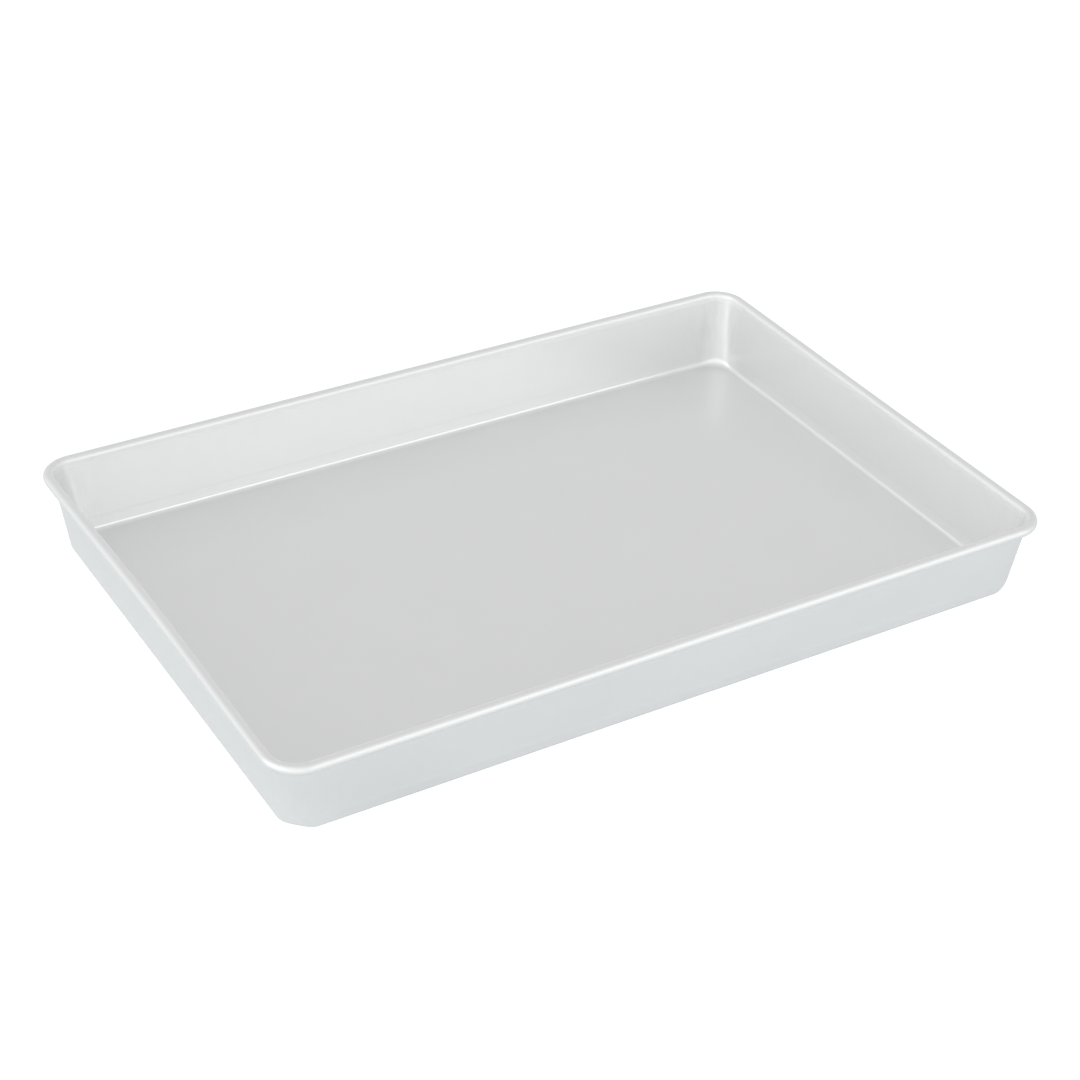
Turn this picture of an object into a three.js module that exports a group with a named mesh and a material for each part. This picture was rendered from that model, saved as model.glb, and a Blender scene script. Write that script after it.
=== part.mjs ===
// A rectangular cake pan: one deep-drawn aluminium sheet, rolled outward at the top round a steel wire.
// Millimetres, +Z up. X runs along the pan, Y across it, and the origin is under the middle of the floor.
import * as THREE from "three";

const { degToRad, lerp, mapLinear } = THREE.MathUtils;

// Driving dimensions of the drawn sheet
const RIM_LENGTH = 468; // along X, outside of the rolled rim
const RIM_WIDTH = 318.4; // along Y, outside of the rolled rim
const PAN_HEIGHT = 48.2; // underside of the floor to the top of the rim
const SHEET = 1.0; // thickness
const WALL_DRAFT = degToRad(6.4); // lean of the walls from upright
const RIM_CORNER = 19.4; // plan radius of the rim's outside at each corner
const FOOT_CORNER = 15.4; // plan radius of the wall's inner face at each corner, down at its foot
const COVE = 4.0; // inside radius of the sweep between floor and wall, along the sides
const CORNER_COVE = 7.1; // the same at the middle of each corner, where the drawn sheet is rounder

// Driving dimensions of the wired edge
const WIRE_DIAMETER = 3.4;
const ROLL_CLEARANCE = 0.3; // between the wire and the sheet rolled round it
const ROLL_SLIT = 0.35; // between the sheet's rolled-in edge and the outside of the wall
const BUTT_GAP = 1.0; // between the two ends of the wire

// Facets
const CORNER_STEPS = 9; // along each plan corner
const SHEET_FACET = degToRad(16); // most that the sheet turns from one facet to the next
const WIRE_FACET = degToRad(32); // the same, round the wire

// The section across a wall: s is measured outward from the rim's outside edge, so it is negative inside, and
// z is height. The wall's inner face runs along `up`, and `inward` is its normal, into the pan.
const section = (s, z) => new THREE.Vector2(s, z);
const up = section(Math.sin(WALL_DRAFT), Math.cos(WALL_DRAFT));
const inward = section(-up.y, up.x);

// The rolled rim is round. It starts at wallTop, where the wall's inner face is tangent to it, goes over the top
// and down the outside, and ends short of the wall.
const EAST = 0;
const NORTH = Math.PI / 2;
const SOUTH = -Math.PI / 2;
const ROLL_RADIUS = WIRE_DIAMETER / 2 + ROLL_CLEARANCE + SHEET;
const rollCentre = section(-ROLL_RADIUS, PAN_HEIGHT - ROLL_RADIUS);
const rollStart = Math.PI - WALL_DRAFT;
const rollEnd = rollStart - 2 * Math.PI + Math.acos((ROLL_RADIUS - SHEET - ROLL_SLIT) / ROLL_RADIUS);
const rollStops = [rollStart, NORTH, EAST, SOUTH, rollEnd];
const wallTop = rollCentre.clone().addScaledVector(inward, ROLL_RADIUS);

// The sweep between floor and wall for one inside radius: its centre, and its foot on the wall's inner face.
const coveStops = [SOUTH, -WALL_DRAFT];
function sweep(radius) {
  const wallLength = (wallTop.y + radius * inward.y - radius - SHEET) / up.y;
  const foot = wallTop.clone().addScaledVector(up, -wallLength);
  return { foot, centre: foot.clone().addScaledVector(inward, radius) };
}

// The plan radius of the wall's inner face at its corners, which changes evenly from foot to top.
const sideFoot = sweep(COVE).foot;
const wallCorner = (s) => mapLinear(s, sideFoot.x, wallTop.x, FOOT_CORNER, RIM_CORNER + wallTop.x);

// The angles of an arc in the section. It passes through every stop, in even facets from one to the next.
function arcAngles(stops, facet) {
  const angles = [stops[0]];
  stops.slice(1).forEach((to, i) => {
    const steps = Math.ceil(Math.abs(to - stops[i]) / facet);
    for (let step = 1; step <= steps; step++) angles.push(lerp(stops[i], to, step / steps));
  });
  return angles;
}
const onArc = (centre, radius, angle) =>
  section(centre.x + radius * Math.cos(angle), centre.y + radius * Math.sin(angle));

// A level is one outline of the pan. For a share of the way round a corner it gives the place in the section and
// the plan radius there. The rim's corner arcs all share one centre, so their radius follows s.
const rimLevel = (radius) => (angle) => () => {
  const { x, y } = onArc(rollCentre, radius, angle);
  return { s: x, z: y, corner: RIM_CORNER + x };
};

// A level of the sweep, which swells towards the middle of each corner. `depth` is 0 on the sheet's inner face.
const footLevel = (depth) => (angle) => (turn) => {
  const radius = lerp(COVE, CORNER_COVE, Math.sin(turn * Math.PI) ** 2);
  const { foot, centre } = sweep(radius);
  const { x, y } = onArc(centre, radius + depth, angle);
  return { s: x, z: y, corner: wallCorner(foot.x) + x - foot.x };
};

// The outline of a level, anticlockwise from above: four corner arcs, with the straight sides between them.
const CORNER_SIDES = [[1, 1], [-1, 1], [-1, -1], [1, -1]];
const CORNER_POINTS = CORNER_STEPS + 1;
function outline(level) {
  const points = [];
  CORNER_SIDES.forEach(([sideX, sideY], quarter) => {
    for (let step = 0; step < CORNER_POINTS; step++) {
      const turn = step / CORNER_STEPS;
      const angle = (quarter + turn) * NORTH;
      const { s, z, corner } = level(turn);
      const x = sideX * (RIM_LENGTH / 2 + s - corner) + corner * Math.cos(angle);
      const y = sideY * (RIM_WIDTH / 2 + s - corner) + corner * Math.sin(angle);
      points.push(new THREE.Vector3(x, y, z));
    }
  });
  return points;
}

// A closed body lofted through rows of points. Each row is a ring, and the two arrays of flat points are the
// shapes of the first and the last one, which the end faces fill.
function loft(rows, firstEnd, lastEnd) {
  const width = firstEnd.length;
  const last = (rows.length - 1) * width;
  const triangles = [];
  for (let row = 0; row < last; row += width) {
    for (let i = 0; i < width; i++) {
      const [a, b] = [row + i, row + (i + 1) % width];
      const [c, d] = [b + width, a + width];
      triangles.push(a, d, c, a, c, b);
    }
  }
  for (const [a, b, c] of THREE.ShapeUtils.triangulateShape(firstEnd, [])) triangles.push(a, b, c);
  for (const [a, b, c] of THREE.ShapeUtils.triangulateShape(lastEnd, [])) {
    triangles.push(last + c, last + b, last + a);
  }
  const geometry = new THREE.BufferGeometry().setFromPoints(rows.flat());
  geometry.setIndex(triangles);
  geometry.computeVertexNormals();
  return geometry;
}

// The drawn sheet: out from the floor and up its inner face, over and round the roll, back along the inside of
// the roll, and down its outer face to the underside. The slit leaves the wire's channel open.
function panShell() {
  const coveAngles = arcAngles(coveStops, SHEET_FACET);
  const rollAngles = arcAngles(rollStops, SHEET_FACET);
  const rows = [
    ...coveAngles.map(footLevel(0)),
    ...rollAngles.map(rimLevel(ROLL_RADIUS)),
    ...rollAngles.toReversed().map(rimLevel(ROLL_RADIUS - SHEET)),
    ...coveAngles.toReversed().map(footLevel(SHEET)),
  ].map(outline);
  const flat = (row) => row.map(({ x, y }) => new THREE.Vector2(x, y));
  const satinAluminium = new THREE.MeshStandardMaterial({ color: 0xd6d8d8, roughness: 0.42, metalness: 1 });
  const shell = new THREE.Mesh(loft(rows, flat(rows[0]), flat(rows.at(-1))), satinAluminium);
  shell.name = "pan_shell";
  return shell;
}

// The wire that the rim is rolled round. It starts and ends at the middle of the back, where its ends are butted.
function rimWire() {
  const stops = [EAST, NORTH, Math.PI, -3 * SOUTH, 4 * NORTH];
  const ringAngles = arcAngles(stops, WIRE_FACET).slice(0, -1);
  const ring = ringAngles.map((angle) => onArc(rollCentre, WIRE_DIAMETER / 2, angle));
  const outlines = ringAngles.map(rimLevel(WIRE_DIAMETER / 2)).map(outline);
  const rings = outlines[0].map((_, i) => outlines.map((points) => points[i]));
  const buttEnd = (x) => ring.map((point) => new THREE.Vector3(x, RIM_WIDTH / 2 + point.x, point.y));
  const rows = [
    buttEnd(-BUTT_GAP / 2),
    ...rings.slice(CORNER_POINTS),
    ...rings.slice(0, CORNER_POINTS),
    buttEnd(BUTT_GAP / 2),
  ];
  const zincedSteel = new THREE.MeshStandardMaterial({ color: 0x9fa3a6, roughness: 0.5, metalness: 1 });
  const wire = new THREE.Mesh(loft(rows, ring, ring), zincedSteel);
  wire.name = "rim_wire";
  return wire;
}

const pan = new THREE.Group();
pan.name = "cake_pan";
pan.add(panShell(), rimWire());

export default pan;
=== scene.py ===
"""Looks of a rectangular cake pan: a satin anodised sheet, rolled at its rim round a zinc-coated wire."""
from __future__ import annotations

import logging
import math
from dataclasses import dataclass
from enum import Enum
from typing import Any, Callable

import bpy
from mathutils import Matrix, Vector


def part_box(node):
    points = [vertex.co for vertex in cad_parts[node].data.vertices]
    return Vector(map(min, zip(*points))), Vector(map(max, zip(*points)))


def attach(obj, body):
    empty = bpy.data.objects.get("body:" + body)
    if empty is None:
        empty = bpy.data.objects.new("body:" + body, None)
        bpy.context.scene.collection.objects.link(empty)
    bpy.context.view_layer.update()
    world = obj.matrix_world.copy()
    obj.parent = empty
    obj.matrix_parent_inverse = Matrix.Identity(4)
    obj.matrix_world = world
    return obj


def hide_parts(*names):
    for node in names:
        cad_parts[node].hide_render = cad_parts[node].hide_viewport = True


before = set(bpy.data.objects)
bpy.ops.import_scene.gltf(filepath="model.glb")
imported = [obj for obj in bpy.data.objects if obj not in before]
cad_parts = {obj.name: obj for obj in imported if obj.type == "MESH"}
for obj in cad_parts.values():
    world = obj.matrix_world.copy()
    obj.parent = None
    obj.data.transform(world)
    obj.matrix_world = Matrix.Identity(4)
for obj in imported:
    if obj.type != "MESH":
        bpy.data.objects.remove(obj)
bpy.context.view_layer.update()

MM = 0.001
QUARTER = math.pi / 2
NOISE_SPAN = (0.3, 0.7)  # where a noise's values mostly lie
SENSOR_WIDTH = 36.0  # of the camera, in millimetres
log = logging.getLogger("cake_pan")


class Corner(Enum):
    """The plan corners, anticlockwise from the back right, with the sides of X and Y that each lies on."""

    BACK_RIGHT = (1, 1)
    BACK_LEFT = (-1, 1)
    FRONT_LEFT = (-1, -1)
    FRONT_RIGHT = (1, -1)


class Face(Enum):
    """The two faces of the sheet, with the share of its thickness that each lies out from the inner one."""

    INNER = 0.0
    OUTER = 1.0


class Ramp(Enum):
    """How a value runs from one end of its range to the other."""

    EVEN = "LINEAR"
    EASED = "SMOOTHSTEP"


@dataclass(frozen=True)
class Level:
    """One place of an outline of the pan.

    Attributes:
        out: Distance outward from the rim's outside edge, so negative inside it, in metres.
        height: Height above the underside of the floor, in metres.
        corner: Plan radius of the outline's corners, in metres.
    """

    out: float
    height: float
    corner: float


# An outline: for a place round the pan, in quarter turns anticlockwise from the right side, where it lies.
# The straight sides are at whole turns, and the corners between them.
Outline = Callable[[float], Level]
Pair = tuple[float, float]
Triple = tuple[float, float, float]
Colour = tuple[float, float, float, float]


@dataclass(frozen=True)
class PlanLoop:
    """The run of points round the pan that every outline shares.

    Attributes:
        length: Outside length of the rim along X, in metres.
        width: Outside width of the rim along Y, in metres.
        height: Underside of the floor to the top of the rim, in metres.
        left_bow: How far the rim is drawn in at the middle of the left short side.
        right_bow: The same on the right short side.
        right_foot: How far the foot of the right side stands out, as that wall leans less than the others.
        back_foot: The same for the back, which leans more.
        pivot: Height of the middle of the rim, which these leave where it is.
        corner_steps: Facets along each corner.
        long_steps: Facets along each long side.
        short_steps: Facets along each short side.
    """

    length: float
    width: float
    height: float
    left_bow: float = 1.3 * MM
    right_bow: float = 0.3 * MM
    right_foot: float = 1.05 * MM
    back_foot: float = -1.0 * MM
    pivot: float = 45.2 * MM
    corner_steps: int = 28
    long_steps: int = 40
    short_steps: int = 28

    def corner_arc(self, outline: Outline, quarter: int) -> list[Vector]:
        """Lays one corner of an outline.

        Args:
            outline: The outline.
            quarter: Which corner, counted anticlockwise from the back right.

        Returns:
            The corner's points, both ends included.
        """
        side_x, side_y = list(Corner)[quarter % 4].value
        points = []
        for step in range(self.corner_steps + 1):
            turn = quarter + step / self.corner_steps
            angle = turn * QUARTER
            level = outline(turn)
            x = side_x * (self.length / 2 + level.out - level.corner) + level.corner * math.cos(angle)
            y = side_y * (self.width / 2 + level.out - level.corner) + level.corner * math.sin(angle)
            share_down = 1 - level.height / self.pivot
            x += self.right_foot * share_down if side_x > 0 else 0.0
            y += self.back_foot * share_down if side_y > 0 else 0.0
            points.append(Vector((x, y, level.height)))
        return points

    def points(self, outline: Outline) -> list[Vector]:
        """Lays a whole outline, anticlockwise from above.

        Args:
            outline: The outline.

        Returns:
            The points of the four corners and of the straight sides between them.
        """
        points = []
        for quarter in range(4):
            arc = self.corner_arc(outline, quarter)
            following = self.corner_arc(outline, quarter + 1)[0]
            steps = self.short_steps if quarter % 2 else self.long_steps
            points.extend(arc)
            points.extend(arc[-1].lerp(following, step / steps) for step in range(1, steps))
            if quarter % 2:
                self.draw_in(points[1 - steps:])
        return points

    def draw_in(self, points: list[Vector]) -> None:
        """Bows a short side inward, most at its middle and more towards the rim.

        Args:
            points: The points of the side between its two corners, which are moved.
        """
        for step, point in enumerate(points, start=1):
            share = math.sin(math.pi * step / (len(points) + 1)) ** 2
            bow = self.left_bow if point.x < 0 else self.right_bow
            point.x -= math.copysign(bow * share * point.z / self.height, point.x)

    def middle_of_back(self) -> int:
        """Gives the index of the outline's point at the middle of the back side."""
        return self.corner_steps + self.long_steps // 2


def arc_points(centre: Vector, radius: float, start: float, end: float, steps: int) -> list[Vector]:
    """Lays an arc in the section across a wall.

    Args:
        centre: The arc's centre, as distance out and height.
        radius: The arc's radius.
        start: The angle it starts at, anticlockwise from straight out.
        end: The angle it ends at.
        steps: How many facets it has.

    Returns:
        The arc's points, both ends included.
    """
    angles = [start + (end - start) * step / steps for step in range(steps + 1)]
    return [centre + radius * Vector((math.cos(angle), math.sin(angle))) for angle in angles]


def ease(value: float) -> float:
    """Rises smoothly from 0 to 1 as the value does."""
    held = min(1.0, max(0.0, value))
    return held * held * (3 - 2 * held)


def lofted_mesh(name: str, rows: list[list[Vector]]) -> bpy.types.Mesh:
    """Joins rings of points into a smooth mesh, and fills the first and the last one with a flat face.

    Args:
        name: The mesh's name.
        rows: The rings in order, all with as many points.

    Returns:
        The mesh, with its faces pointing out.
    """
    width = len(rows[0])
    last = (len(rows) - 1) * width
    faces: list[tuple[int, ...]] = []
    for here in range(0, last, width):
        there = here + width
        for i in range(width):
            after = (i + 1) % width
            faces.append((here + i, there + i, there + after, here + after))
    faces.append(tuple(range(width)))
    faces.append(tuple(last + i for i in reversed(range(width))))
    mesh = bpy.data.meshes.new(name)
    mesh.from_pydata([point for row in rows for point in row], [], faces)
    mesh.update()
    mesh.shade_smooth()
    return mesh


def placed_piece(mesh: bpy.types.Mesh) -> bpy.types.Object:
    """Puts a mesh in the scene.

    Args:
        mesh: The mesh, already in the pan's frame.

    Returns:
        The new object, named as the mesh is.
    """
    piece = bpy.data.objects.new(mesh.name, mesh)
    bpy.context.scene.collection.objects.link(piece)
    return piece


class NodeBoard:
    """A node tree, with short calls to add a node and to join two sockets."""

    def __init__(self, tree: bpy.types.NodeTree) -> None:
        """Clears the tree.

        Args:
            tree: The tree of a material or a world.
        """
        self.tree = tree
        tree.nodes.clear()

    def add(self, kind: str, sockets: dict[str | int, Any] | None = None, **settings: Any) -> bpy.types.Node:
        """Adds a node.

        Args:
            kind: The node's type, without the leading ShaderNode.
            sockets: Values for its inputs, by name or place. A socket given here is joined instead of set.
            **settings: Values for its properties.

        Returns:
            The new node.
        """
        node = self.tree.nodes.new("ShaderNode" + kind)
        for key, value in settings.items():
            setattr(node, key, value)
        for key, value in (sockets or {}).items():
            if isinstance(value, bpy.types.NodeSocket):
                self.tree.links.new(value, node.inputs[key])
            else:
                node.inputs[key].default_value = value
        return node

    def maths(self, operation: str, *values: Any) -> bpy.types.NodeSocket:
        """Adds a Math node.

        Args:
            operation: What it works out.
            *values: Its inputs, as numbers or sockets.

        Returns:
            Its result.
        """
        return self.add("Math", dict(enumerate(values)), operation=operation).outputs[0]

    def between(
        self, value: bpy.types.NodeSocket, span: Pair, results: Pair, ramp: Ramp = Ramp.EVEN,
    ) -> bpy.types.NodeSocket:
        """Carries a value from one range to another, and holds it at the ends.

        Args:
            value: The value.
            span: Where it starts and where it ends.
            results: What it becomes there.
            ramp: How it runs from the one to the other.

        Returns:
            The new value.
        """
        inputs = {"Value": value, "From Min": span[0], "From Max": span[1], "To Min": results[0],
                  "To Max": results[1]}
        return self.add("MapRange", inputs, interpolation_type=ramp.value).outputs["Result"]

    def spread(self, noise: bpy.types.NodeSocket, results: Pair) -> bpy.types.NodeSocket:
        """Stretches the range where a noise mostly lies to another one."""
        return self.between(noise, NOISE_SPAN, results)

    def blend(self, share: bpy.types.NodeSocket, first: Colour, second: Colour) -> bpy.types.NodeSocket:
        """Mixes two colours.

        Args:
            share: The share of the second one.
            first: The first colour.
            second: The second colour.

        Returns:
            The mixed colour.
        """
        return self.add("Mix", {"Factor": share, 6: first, 7: second}, data_type="RGBA").outputs["Result"]

    def noise(self, place: bpy.types.NodeSocket, scale: Triple, detail: float) -> bpy.types.NodeSocket:
        """Adds a noise that can be drawn out along an axis.

        Args:
            place: The coordinates, in metres.
            scale: Features to the metre along each axis.
            detail: Octaves of finer noise.

        Returns:
            The noise's value.
        """
        stretched = self.add("VectorMath", {0: place, 1: scale}, operation="MULTIPLY")
        inputs = {"Vector": stretched.outputs[0], "Scale": 1.0, "Detail": detail, "Roughness": 0.55}
        return self.add("TexNoise", inputs).outputs["Fac"]


@dataclass(frozen=True)
class DrawMarksAndPaintedShade:
    """The drawing tool's marks on the walls, and light and shade painted up them, as two vertex attributes
    that the finish reads.

    Upright marks are strongest near the corners and inside. Painted light and shade makes the inside lighter
    towards the rim and darker at the foot, and the outside faintly the other way round; the two ends get
    painted shade inside.

    Attributes:
        marks: The attribute that says how strong the upright marks are.
        painted_shade: The attribute that says how much lighter the sheet is painted, or how much darker
            where it is negative.
        reach: How far from a corner the marks have faded, in metres.
        straight_marks: How strong they are on the straight sides, where a corner's are 1.
        outside_marks: How strong they are outside, where the inside's are 1.
        inside_painted_shade: The painted light at the top of the inside. The foot has as much painted shade.
        outside_painted_shade: The same outside, where it runs the other way: painted shade at the top, light
            at the foot.
        end_painted_shade: The painted shade that the two end walls have besides, inside.
    """

    marks: str = "draw_marks"
    painted_shade: str = "painted_wall_shade"
    reach: float = 50 * MM
    straight_marks: float = 0.04
    outside_marks: float = 0.3
    inside_painted_shade: float = 0.55
    outside_painted_shade: float = -0.2
    end_painted_shade: float = -0.25


@dataclass(frozen=True)
class SatinAnodised:
    """The finish of the sheet: matt-etched aluminium under a thin clear oxide layer.

    Attributes:
        marks_and_shade: The drawing tool's marks on the walls, and the light and shade painted up them.
        dull: Linear colour where the sheet is darkest, from dull patches or from painted shade.
        clean: Linear colour where it is lightest, from clean patches or from painted light.
        patch_tone: How far the patches go from dull to clean.
        grain_tone: What the grain adds to that.
        mark_tone: How strongly the draw marks add to it.
        etched: Lowest and highest roughness of the etched grains.
        smooth: Roughness of the grains that are left smooth between them.
        smooth_share: The share of smooth grains, on the walls and on the rolled rim.
        rim_height: Height where the rim's share starts and where it is reached, in metres.
        patch: Patches to the metre, across the sheet.
        grain: Etched grains to the metre.
        grain_depth: Depth of the etched grain, in metres.
        streak: Draw marks to the metre, round the walls.
        streak_length: How many times as long as wide they are.
        streak_depth: Depth of the draw marks, in metres.
    """

    marks_and_shade: DrawMarksAndPaintedShade = DrawMarksAndPaintedShade()
    dull: Colour = (0.842, 0.848, 0.845, 1.0)
    clean: Colour = (0.902, 0.908, 0.905, 1.0)
    patch_tone: Pair = (0.38, 0.56)
    grain_tone: Pair = (0.0, 0.06)
    mark_tone: float = 3.0
    etched: Pair = (0.58, 0.62)
    smooth: float = 0.19
    smooth_share: Pair = (0.35, 0.06)
    rim_height: Pair = (42.5 * MM, 44.5 * MM)
    patch: float = 24.0
    grain: float = 5000.0
    grain_depth: float = 0.004 * MM
    streak: float = 420.0
    streak_length: float = 60.0
    streak_depth: float = 0.05 * MM

    def material(self) -> bpy.types.Material:
        """Makes the material.

        Returns:
            A metal whose colour, gloss and grain vary as etched and drawn sheet does, with light and shade
            painted up the walls.
        """
        material = bpy.data.materials.new("satin_anodised_aluminium")
        material.use_nodes = True
        board = NodeBoard(material.node_tree)
        place = board.add("TexCoord").outputs["Object"]
        patches = board.noise(place, (self.patch,) * 3, 3.0)
        grain = board.noise(place, (self.grain,) * 3, 2.0)
        streaks = board.noise(place, (self.streak, self.streak, self.streak / self.streak_length), 2.0)
        marks = board.add("Attribute", attribute_name=self.marks_and_shade.marks).outputs["Fac"]
        # Painted light and shade up the walls, read from a vertex attribute.
        painted_shade = board.add("Attribute", attribute_name=self.marks_and_shade.painted_shade).outputs["Fac"]
        marked = board.maths("MULTIPLY", board.maths("SUBTRACT", streaks, 0.5), marks)

        # The tone adds the painted light and shade to the random patches.
        tone = board.maths("ADD", board.spread(patches, self.patch_tone), painted_shade)
        tone = board.maths("ADD", tone, board.spread(grain, self.grain_tone))
        tone = board.maths("ADD", tone, board.maths("MULTIPLY", marked, self.mark_tone))
        colour = board.blend(tone, self.dull, self.clean)

        etched = board.add("Bump", {"Strength": 1.0, "Distance": self.grain_depth, "Height": grain})
        drawn = board.add("Bump", {
            "Strength": 1.0, "Distance": self.streak_depth, "Height": marked, "Normal": etched.outputs[0],
        })
        lobes = []
        for rough in (board.spread(patches, self.etched), self.smooth):
            shader = board.add("BsdfPrincipled", {
                "Base Color": colour, "Metallic": 1.0, "Roughness": rough, "Normal": drawn.outputs[0],
            })
            lobes.append(shader.outputs[0])
        height = board.add("SeparateXYZ", {"Vector": place}).outputs["Z"]
        share = board.between(height, self.rim_height, self.smooth_share)
        surface = board.add("MixShader", {0: share, 1: lobes[0], 2: lobes[1]})
        board.add("OutputMaterial", {"Surface": surface.outputs[0]})
        return material


@dataclass(frozen=True)
class ZincedWire:
    """The finish of the wire: drawn steel with a dull zinc coat.

    Attributes:
        dull: Linear colour of the duller spangles.
        bright: Linear colour of the brighter spangles.
        spangle: Spangles to the metre.
        roughness: Lowest and highest roughness.
    """

    dull: Colour = (0.30, 0.31, 0.32, 1.0)
    bright: Colour = (0.44, 0.45, 0.46, 1.0)
    spangle: float = 420.0
    roughness: Pair = (0.42, 0.6)

    def material(self) -> bpy.types.Material:
        """Makes the material.

        Returns:
            A metal with cell-like spangles of differing tone and gloss.
        """
        material = bpy.data.materials.new("zinc_coated_steel")
        material.use_nodes = True
        board = NodeBoard(material.node_tree)
        place = board.add("TexCoord").outputs["Object"]
        cells = board.add("TexVoronoi", {"Vector": place, "Scale": self.spangle}, feature="F1")
        cloud = board.noise(place, (self.spangle / 3,) * 3, 3.0)
        tone = board.maths("MULTIPLY", board.maths("ADD", cells.outputs["Color"], cloud), 0.5)
        shader = board.add("BsdfPrincipled", {
            "Base Color": board.blend(tone, self.dull, self.bright), "Metallic": 1.0,
            "Roughness": board.spread(cloud, self.roughness),
        })
        board.add("OutputMaterial", {"Surface": shader.outputs[0]})
        return material


@dataclass(frozen=True)
class DrawnShell:
    """The drawn sheet: floor, walls and the rim that is rolled outward, as one skin of even thickness.

    Attributes:
        loop: The run of points round the pan.
        sheet: Thickness of the sheet.
        draft: Lean of the walls from upright, in radians.
        rim_corner: Plan radius of the rim's outside.
        foot_corner: Plan radius of the wall's inner face at its foot.
        cove: Inside radius of the sweep between floor and wall, along the sides.
        cove_spread: How much more that is along the right, the back, the left and the front side.
        corner_cove: Inside radius of the sweep at the middle of each corner.
        roll_radius: Outside radius of the rolled rim.
        slit: Gap between the sheet's rolled-in edge and the wall.
        edge_round: Rounding of the rolled-in edge's corners.
        edge_steps: Facets on each of them.
        draw_line: Height of the line that the drawing tool left round the walls.
        draw_step: How far the wall below that line stands out from the wall above it.
        draw_blend: Half the height over which the wall steps out at that line.
        line_reach: How far the finer rows at that line reach above and below it.
        floor_rings: Rings of faces on the floor, as shares of its size.
        cove_steps: Facets across the sweep.
        roll_steps: Facets round the roll.
        foot_rows: Rows of faces between the sweep and the draw line.
        line_rows: Rows across the draw line.
        wall_rows: Rows between the draw line and the roll.
    """

    loop: PlanLoop
    sheet: float = 1.0 * MM
    draft: float = math.radians(6.4)
    rim_corner: float = 19.4 * MM
    foot_corner: float = 15.4 * MM
    cove: float = 3.4 * MM
    cove_spread: tuple[float, ...] = (-0.7 * MM, 0.0, 0.0, -0.6 * MM)
    corner_cove: float = 6.7 * MM
    roll_radius: float = 3.0 * MM
    slit: float = 0.35 * MM
    edge_round: float = 0.3 * MM
    edge_steps: int = 4
    draw_line: float = 9.4 * MM
    draw_step: float = 0.1 * MM
    draw_blend: float = 0.9 * MM
    line_reach: float = 1.35 * MM
    floor_rings: tuple[float, ...] = (0.03, 0.25, 0.5, 0.75, 0.92, 0.985, 0.997)
    cove_steps: int = 14
    roll_steps: int = 44
    foot_rows: int = 3
    line_rows: int = 8
    wall_rows: int = 12

    @property
    def up(self) -> Vector:
        """Gives the direction up the wall's inner face, in the section."""
        return Vector((math.sin(self.draft), math.cos(self.draft)))

    @property
    def inward(self) -> Vector:
        """Gives the normal of the wall's inner face, into the pan, in the section."""
        return Vector((-self.up.y, self.up.x))

    @property
    def roll_centre(self) -> Vector:
        """Gives the centre of the rolled rim in the section."""
        return Vector((-self.roll_radius, self.loop.height - self.roll_radius))

    @property
    def roll_start(self) -> float:
        """Gives the angle where the wall runs into the roll."""
        return math.pi - self.draft

    @property
    def roll_end(self) -> float:
        """Gives the angle where the rolled-in edge stops short of the wall."""
        reach = (self.roll_radius - self.sheet - self.slit) / self.roll_radius
        return self.roll_start - 2 * math.pi + math.acos(reach)

    @property
    def wall_top(self) -> Vector:
        """Gives the top of the wall's inner face in the section."""
        return self.roll_centre + self.inward * self.roll_radius

    def wall_point(self, height: float) -> Vector:
        """Gives the point of the wall's inner face at a height, in the section."""
        return self.wall_top - self.up * ((self.wall_top.y - height) / self.up.y)

    def wall_corner(self, out: float) -> float:
        """Gives the plan radius of the wall's inner face, which changes evenly from its foot to its top."""
        foot = self.wall_point(self.foot_height(self.cove)).x
        top = self.wall_top.x
        return self.foot_corner + (self.rim_corner + top - self.foot_corner) * (out - foot) / (top - foot)

    def sweep_radius(self, turn: float) -> float:
        """Works out the inside radius of the sweep, which swells in the corners.

        Args:
            turn: The place round the pan, in quarter turns anticlockwise from the right side.

        Returns:
            The radius.
        """
        share = turn % 1
        side = int(turn) % 4
        before, after = self.cove_spread[side], self.cove_spread[(side + 1) % 4]
        along = self.cove + before + (after - before) * ease(share)
        return along + (self.corner_cove - along) * math.sin(math.pi * share) ** 2

    def foot_height(self, radius: float) -> float:
        """Gives the height where a sweep of a radius meets the wall's inner face."""
        return self.sheet + radius - radius * self.inward.y

    def sweep_foot(self, turn: float) -> Vector:
        """Gives the point where the sweep meets the wall's inner face, in the section."""
        return self.wall_point(self.foot_height(self.sweep_radius(turn)))

    def rim_outline(self, point: Vector) -> Outline:
        """Gives the outline through a point of the roll, whose corners share the rim's centre."""
        level = Level(point.x, point.y, self.rim_corner + point.x)
        return lambda turn: level

    def sweep_outline(self, angle: float, face: Face) -> Outline:
        """Makes an outline of the sweep.

        Args:
            angle: Where it lies on the sweep's arc, anticlockwise from straight out.
            face: Which face of the sheet.

        Returns:
            The outline, which moves in towards the middle of each corner.
        """
        def level(turn: float) -> Level:
            """Gives the place of the sweep."""
            radius = self.sweep_radius(turn)
            foot = self.sweep_foot(turn)
            reach = radius + self.sheet * face.value
            point = foot + self.inward * radius + reach * Vector((math.cos(angle), math.sin(angle)))
            return Level(point.x, point.y, self.wall_corner(foot.x) + point.x - foot.x)
        return level

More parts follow.
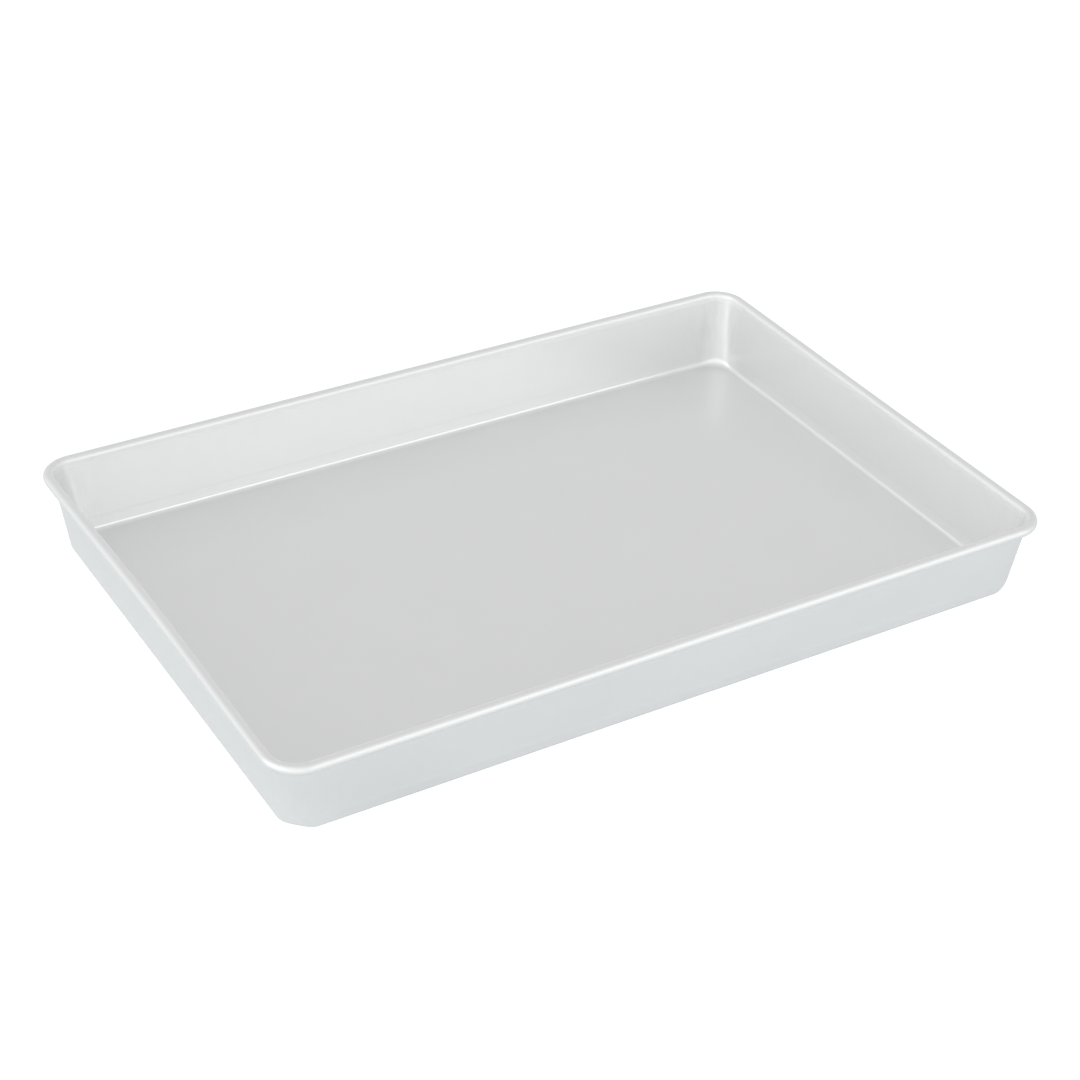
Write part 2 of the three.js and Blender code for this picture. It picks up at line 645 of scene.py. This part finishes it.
    def wall_outline(self, height: float, share_up: float, face: Face) -> Outline:
        """Makes an outline of the wall.

        Args:
            height: The height that it lies at, or that it is on its way to.
            share_up: The share of the way from the sweep to that height.
            face: Which face of the sheet.

        Returns:
            The outline, with the draw line's step in it.
        """
        def level(turn: float) -> Level:
            """Gives the place of the wall."""
            foot = self.sweep_foot(turn).y
            inner = self.wall_point(foot + (height - foot) * share_up)
            point = inner - self.inward * self.sheet * face.value
            step = self.step_out(inner.y)
            corner = self.wall_corner(inner.x) + point.x - inner.x
            return Level(point.x + step, point.y, corner + step)
        return level

    def floor_outline(self, size: float, face: Face) -> Outline:
        """Makes a ring of the floor.

        Args:
            size: The ring's size as a share of the floor's.
            face: Which face of the sheet.

        Returns:
            The ring.
        """
        edge = self.sweep_outline(-QUARTER, face)

        def level(turn: float) -> Level:
            """Gives the place of the ring."""
            rim = edge(turn)
            return Level(size * rim.out - (1 - size) * self.loop.width / 2, rim.height, size * rim.corner)
        return level

    def step_out(self, height: float) -> float:
        """Works out how far the draw line's step moves the wall out.

        Args:
            height: Height above the underside of the floor.

        Returns:
            The distance, which is nothing above the line and at the wall's foot.
        """
        below_line = ease((self.draw_line + self.draw_blend - height) / (2 * self.draw_blend))
        foot = self.foot_height(self.cove)
        above_foot = ease((height - foot) / (self.draw_line - self.draw_blend - foot))
        return self.draw_step * below_line * above_foot

    def wall_outlines(self, face: Face) -> list[Outline]:
        """Lays the outlines of one face of the walls, from the sweep up to the roll.

        Args:
            face: Which face of the sheet.

        Returns:
            The outlines, which are closest at the draw line.
        """
        low = self.draw_line - self.line_reach
        high = self.draw_line + self.line_reach
        top = self.wall_top.y
        outlines = [self.wall_outline(low, row / self.foot_rows, face) for row in range(1, self.foot_rows)]
        heights = [low + (high - low) * row / self.line_rows for row in range(self.line_rows)]
        heights += [high + (top - high) * row / self.wall_rows for row in range(self.wall_rows)]
        return outlines + [self.wall_outline(height, 1.0, face) for height in heights]

    def rolled_edge(self) -> list[Vector]:
        """Lays the end of the sheet inside the roll.

        Returns:
            Points from its outer face to its inner one, with both corners rounded.
        """
        radial = Vector((math.cos(self.roll_end), math.sin(self.roll_end)))
        onward = Vector((radial.y, -radial.x))
        points = []
        for depth, start in ((self.edge_round, 0.0), (self.sheet - self.edge_round, QUARTER)):
            centre = self.roll_centre + radial * (self.roll_radius - depth) - onward * self.edge_round
            for step in range(self.edge_steps + 1):
                turn = start + QUARTER * step / self.edge_steps
                points.append(centre + self.edge_round * (radial * math.cos(turn) + onward * math.sin(turn)))
        return points

    def outlines(self) -> list[Outline]:
        """Lays every outline, from the middle of the floor over the rim to the middle of the underside.

        Returns:
            The outlines in order.
        """
        trim = self.edge_round / self.roll_radius
        inside = self.roll_radius - self.sheet
        roll_over = arc_points(self.roll_centre, self.roll_radius, self.roll_start, self.roll_end + trim,
                               self.roll_steps)
        roll_back = arc_points(self.roll_centre, inside, self.roll_end + trim * self.roll_radius / inside,
                               self.roll_start, self.roll_steps)
        rise = QUARTER - self.draft
        sweep = [rise * step / self.cove_steps - QUARTER for step in range(self.cove_steps + 1)]
        return [
            *(self.floor_outline(size, Face.INNER) for size in self.floor_rings),
            *(self.sweep_outline(angle, Face.INNER) for angle in sweep),
            *self.wall_outlines(Face.INNER),
            *map(self.rim_outline, roll_over[:-1]),
            *map(self.rim_outline, self.rolled_edge()),
            *map(self.rim_outline, roll_back[1:]),
            *reversed(self.wall_outlines(Face.OUTER)),
            *(self.sweep_outline(angle, Face.OUTER) for angle in reversed(sweep)),
            *(self.floor_outline(size, Face.OUTER) for size in reversed(self.floor_rings)),
        ]

    def build(self) -> bpy.types.Object:
        """Makes the sheet's mesh and puts it in the scene.

        Returns:
            The piece that stands for the whole sheet.
        """
        rows = [self.loop.points(outline) for outline in self.outlines()]
        return placed_piece(lofted_mesh("drawn_sheet", rows))

    def mark_draw_and_shade(self, piece: bpy.types.Object, marks_and_shade: DrawMarksAndPaintedShade) -> None:
        """Writes the drawing tool's marks on the walls, and the light and shade painted up them.

        Args:
            piece: The sheet.
            marks_and_shade: How strong they are, and the vertex attributes that hold them.
        """
        top = self.wall_top.y
        marks = []
        painted_shade = []
        for vertex in piece.data.vertices:
            inside = vertex.normal.x * vertex.co.x + vertex.normal.y * vertex.co.y < 0
            from_end = self.loop.length / 2 - abs(vertex.co.x)
            from_side = self.loop.width / 2 - abs(vertex.co.y)
            near_corner = ease(1 - max(from_end, from_side) / marks_and_shade.reach)
            on_wall = ease((vertex.co.z - self.sheet) / (2 * self.cove))
            on_rim = ease((vertex.co.z - top) / self.roll_radius)
            strength = marks_and_shade.straight_marks + (1 - marks_and_shade.straight_marks) * near_corner
            marks.append(strength * on_wall * (1.0 if inside else marks_and_shade.outside_marks))
            # Painted light and shade: lighter towards the rim inside and darker at the foot, the reverse
            # outside, painted shade on the ends inside.
            share_up = (vertex.co.z - self.sheet) / (top - self.sheet)
            at_top = marks_and_shade.inside_painted_shade if inside else marks_and_shade.outside_painted_shade
            at_end = marks_and_shade.end_painted_shade * vertex.normal.x ** 2 if inside else 0.0
            painted_shade.append((at_top * (2 * share_up - 1) + at_end) * on_wall * (1 - on_rim))
        for name, values in ((marks_and_shade.marks, marks), (marks_and_shade.painted_shade, painted_shade)):
            piece.data.attributes.new(name, "FLOAT", "POINT").data.foreach_set("value", values)

    def dress(self, piece: bpy.types.Object, finish: SatinAnodised) -> None:
        """Finishes the sheet and ties it to the pan.

        Args:
            piece: The sheet.
            finish: Its finish.
        """
        self.mark_draw_and_shade(piece, finish.marks_and_shade)
        piece.data.materials.append(finish.material())
        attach(piece, "root")
        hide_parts("pan_shell")


@dataclass(frozen=True)
class RimWire:
    """The round wire inside the rolled rim, with its two ends butted at the middle of the back.

    Attributes:
        loop: The run of points round the pan.
        shell: The sheet that is rolled round the wire.
        diameter: The wire's diameter, in metres.
        gap: Gap between its ends.
        chamfer: Bevel of its cut ends.
        sides: Facets round the wire.
    """

    loop: PlanLoop
    shell: DrawnShell
    diameter: float = 3.4 * MM
    gap: float = 1.0 * MM
    chamfer: float = 0.35 * MM
    sides: int = 24

    def ring(self, radius: float) -> list[Vector]:
        """Gives the points of a circle about the roll's centre, in the section."""
        return arc_points(self.shell.roll_centre, radius, 0.0, 2 * math.pi, self.sides)[:-1]

    def end_ring(self, x: float, radius: float) -> list[Vector]:
        """Lays one ring of a cut end.

        Args:
            x: Where it lies along the back.
            radius: The ring's radius.

        Returns:
            The ring's points.
        """
        half_width = self.loop.width / 2
        return [Vector((x, half_width + point.x, point.y)) for point in self.ring(radius)]

    def build(self) -> bpy.types.Object:
        """Makes the wire's mesh and puts it in the scene.

        Returns:
            The piece that stands for the wire.
        """
        radius = self.diameter / 2
        outlines = [self.loop.points(self.shell.rim_outline(point)) for point in self.ring(radius)]
        stations = [list(points) for points in zip(*outlines)]
        middle = self.loop.middle_of_back()
        run = stations[middle + 1:] + stations[:middle]
        end = self.gap / 2
        rows = [
            self.end_ring(-end, radius - self.chamfer),
            self.end_ring(-end - self.chamfer, radius),
            *run,
            self.end_ring(end + self.chamfer, radius),
            self.end_ring(end, radius - self.chamfer),
        ]
        return placed_piece(lofted_mesh("stiffening_wire", rows))

    def dress(self, piece: bpy.types.Object, finish: ZincedWire) -> None:
        """Finishes the wire and ties it to the pan.

        Args:
            piece: The wire.
            finish: Its finish.
        """
        piece.data.materials.append(finish.material())
        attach(piece, "root")
        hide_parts("rim_wire")


@dataclass(frozen=True)
class SoftBox:
    """One soft box of the studio, with white light.

    Attributes:
        name: What it is called.
        place: Where it stands, in metres.
        size: Its width and height, in metres.
        radiance: How bright its face is, where 1 is the white of paper.
    """

    name: str
    place: Triple
    size: Pair
    radiance: float

    def build(self, aim: Vector) -> bpy.types.Object:
        """Makes the lamp and turns it.

        Args:
            aim: The point that it faces.

        Returns:
            The lamp.
        """
        data = bpy.data.lights.new(self.name, "AREA")
        data.shape = "RECTANGLE"
        data.size, data.size_y = self.size
        data.energy = self.radiance * math.pi * self.size[0] * self.size[1]
        lamp = bpy.data.objects.new(self.name, data)
        lamp.location = self.place
        lamp.rotation_euler = (aim - Vector(self.place)).to_track_quat("-Z", "Y").to_euler()
        bpy.context.scene.collection.objects.link(lamp)
        return lamp


@dataclass(frozen=True)
class Studio:
    """A white sweep under soft lamps.

    Attributes:
        lamps: The soft boxes.
        horizon: Brightness of the surroundings at the horizon.
        zenith: Brightness of the surroundings overhead.
        bright_side: The direction towards the photographer's side, where the surroundings are brighter.
        bright_gain: How much brighter they are there.
        floor_reach: Half the width of the floor, in metres.
        floor_drop: How far the floor lies under the pan, in metres.
        floor_tone: The floor's colour.
        floor_glow: How much of the floor's white is there without the lamps.
        gloss_share: The share of that glow that gloss shows, beside the pan and out in front of it; the
            lower share beside it is painted shade.
        front_edge: Where along Y that painted shade in front of the pan starts to lift, and where it is
            gone.
        left_painted_light: Painted light, what the share gains on the floor to the left of the pan.
        left_edge: Where along X the left part of the floor starts, and where it is at its brightest.
        floor_cast: The colour of that glow.
    """

    lamps: tuple[SoftBox, ...] = (
        SoftBox("left_box", (-2.49, 0.22, 0.84), (1.59, 1.68), 0.87),
        SoftBox("front_box", (1.02, -2.28, 0.79), (1.64, 1.58), 0.95),
    )
    horizon: float = 0.825
    zenith: float = 0.68
    bright_side: Triple = (-0.883, -0.469, 0.0)
    bright_gain: float = 0.5
    floor_reach: float = 8.0
    floor_drop: float = 0.1 * MM
    floor_tone: Colour = (0.4, 0.4, 0.4, 1.0)
    floor_glow: float = 0.78
    gloss_share: Pair = (0.54, 0.83)
    front_edge: Pair = (-0.185, -0.245)
    left_painted_light: float = 0.065
    left_edge: Pair = (-0.17, -0.25)
    floor_cast: Colour = (0.945, 0.992, 1.02, 1.0)

    def build_world(self) -> None:
        """Makes surroundings that are dimmer overhead and brighter towards the photographer's side."""
        world = bpy.data.worlds.new("studio")
        world.use_nodes = True
        board = NodeBoard(world.node_tree)
        direction = board.add("TexCoord").outputs["Generated"]
        height = board.add("SeparateXYZ", {"Vector": direction}).outputs["Z"]
        dome = board.between(height, (0.0, 1.0), (self.horizon, self.zenith), Ramp.EASED)
        facing = board.add("VectorMath", {0: direction, 1: self.bright_side}, operation="DOT_PRODUCT")
        side = board.between(facing.outputs["Value"], (0.0, 1.0), (0.0, self.bright_gain), Ramp.EASED)
        strength = board.maths("ADD", dome, side)
        sky = board.add("Background", {"Color": (1.0, 1.0, 1.0, 1.0), "Strength": strength})
        board.add("OutputWorld", {"Surface": sky.outputs[0]})
        bpy.context.scene.world = world

    def floor_material(self) -> bpy.types.Material:
        """Makes the sweep's material.

        Returns:
            A matt white that glows towards the eye and towards gloss, and keeps shadows; gloss sees painted
            shade near the pan.
        """
        material = bpy.data.materials.new("white_sweep")
        material.use_nodes = True
        board = NodeBoard(material.node_tree)
        path = board.add("LightPath")
        mirrored = board.maths("MAXIMUM", path.outputs["Is Glossy Ray"], path.outputs["Is Transmission Ray"])
        spot = board.add("SeparateXYZ", {"Vector": board.add("TexCoord").outputs["Object"]})
        # What gloss sees of the glow is dimmer beside the pan, as painted shade, and brighter to its left,
        # as painted light.
        front = board.between(spot.outputs["Y"], self.front_edge, self.gloss_share)
        left = board.between(spot.outputs["X"], self.left_edge, (0.0, self.left_painted_light))
        share = board.maths("ADD", front, left)
        mirrored = board.maths("MULTIPLY", mirrored, share)
        seen = board.maths("MAXIMUM", path.outputs["Is Camera Ray"], mirrored)
        matt = board.add("BsdfDiffuse", {"Color": self.floor_tone})
        strength = board.maths("MULTIPLY", seen, self.floor_glow)
        glow = board.add("Emission", {"Color": self.floor_cast, "Strength": strength})
        both = board.add("AddShader", {0: matt.outputs[0], 1: glow.outputs[0]})
        board.add("OutputMaterial", {"Surface": both.outputs[0]})
        return material

    def build_floor(self) -> bpy.types.Object:
        """Lays the floor.

        Returns:
            The floor.
        """
        reach = self.floor_reach
        corners = [(x * reach, y * reach, -self.floor_drop) for x, y in (c.value for c in Corner)]
        mesh = bpy.data.meshes.new("sweep_floor")
        mesh.from_pydata(corners, [], [(0, 1, 2, 3)])
        mesh.materials.append(self.floor_material())
        floor = placed_piece(mesh)
        return floor

    def build(self, aim: Vector) -> None:
        """Sets up the whole studio.

        Args:
            aim: The point that the lamps face.
        """
        self.build_world()
        self.build_floor()
        for lamp in self.lamps:
            lamp.build(aim)


@dataclass(frozen=True)
class Viewpoint:
    """The camera, at the photograph's viewing angle.

    Attributes:
        place: Where it stands, in metres.
        yaw: How far it is turned from looking along +Y, towards +X, in degrees.
        pitch: How far it looks down, in degrees.
        roll: How far it is tipped, in degrees.
        lens: Focal length, in millimetres.
    """

    place: Triple = (-0.5898, -0.9669, 0.7553)
    yaw: float = 31.477
    pitch: float = 33.128
    roll: float = 1.836
    lens: float = 80.42

    def build(self) -> bpy.types.Object:
        """Makes the camera and gives it to the scene.

        Returns:
            The camera.
        """
        yaw, pitch, roll = (math.radians(angle) for angle in (self.yaw, self.pitch, self.roll))
        level = math.cos(pitch)
        forward = Vector((math.sin(yaw) * level, math.cos(yaw) * level, -math.sin(pitch)))
        level_right = Vector((math.cos(yaw), -math.sin(yaw), 0.0))
        level_up = level_right.cross(forward)
        right = level_right * math.cos(roll) + level_up * math.sin(roll)
        up = level_up * math.cos(roll) - level_right * math.sin(roll)
        data = bpy.data.cameras.new("viewpoint")
        data.lens = self.lens
        data.sensor_width = SENSOR_WIDTH
        camera = bpy.data.objects.new("viewpoint", data)
        turn = Matrix((right, up, -forward)).transposed().to_4x4()
        camera.matrix_world = Matrix.Translation(Vector(self.place)) @ turn
        bpy.context.scene.collection.objects.link(camera)
        bpy.context.scene.camera = camera
        return camera


def report(piece: bpy.types.Object) -> None:
    """Logs a piece's name and how many points it has."""
    log.info("%s: %d points", piece.name, len(piece.data.vertices))


def main() -> None:
    """Builds the camera, the studio and the pan's two pieces, in that order."""
    logging.basicConfig(level=logging.INFO, format="%(name)s %(message)s")
    bpy.context.scene.view_settings.view_transform = "Standard"
    low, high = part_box("pan_shell")
    size = high - low
    Viewpoint().build()
    Studio().build((low + high) / 2)

    loop = PlanLoop(size.x, size.y, size.z)
    shell = DrawnShell(loop)
    sheet = shell.build()
    shell.dress(sheet, SatinAnodised())
    report(sheet)

    wire = RimWire(loop, shell)
    ring = wire.build()
    wire.dress(ring, ZincedWire())
    report(ring)


if __name__ == "__main__":
    main()
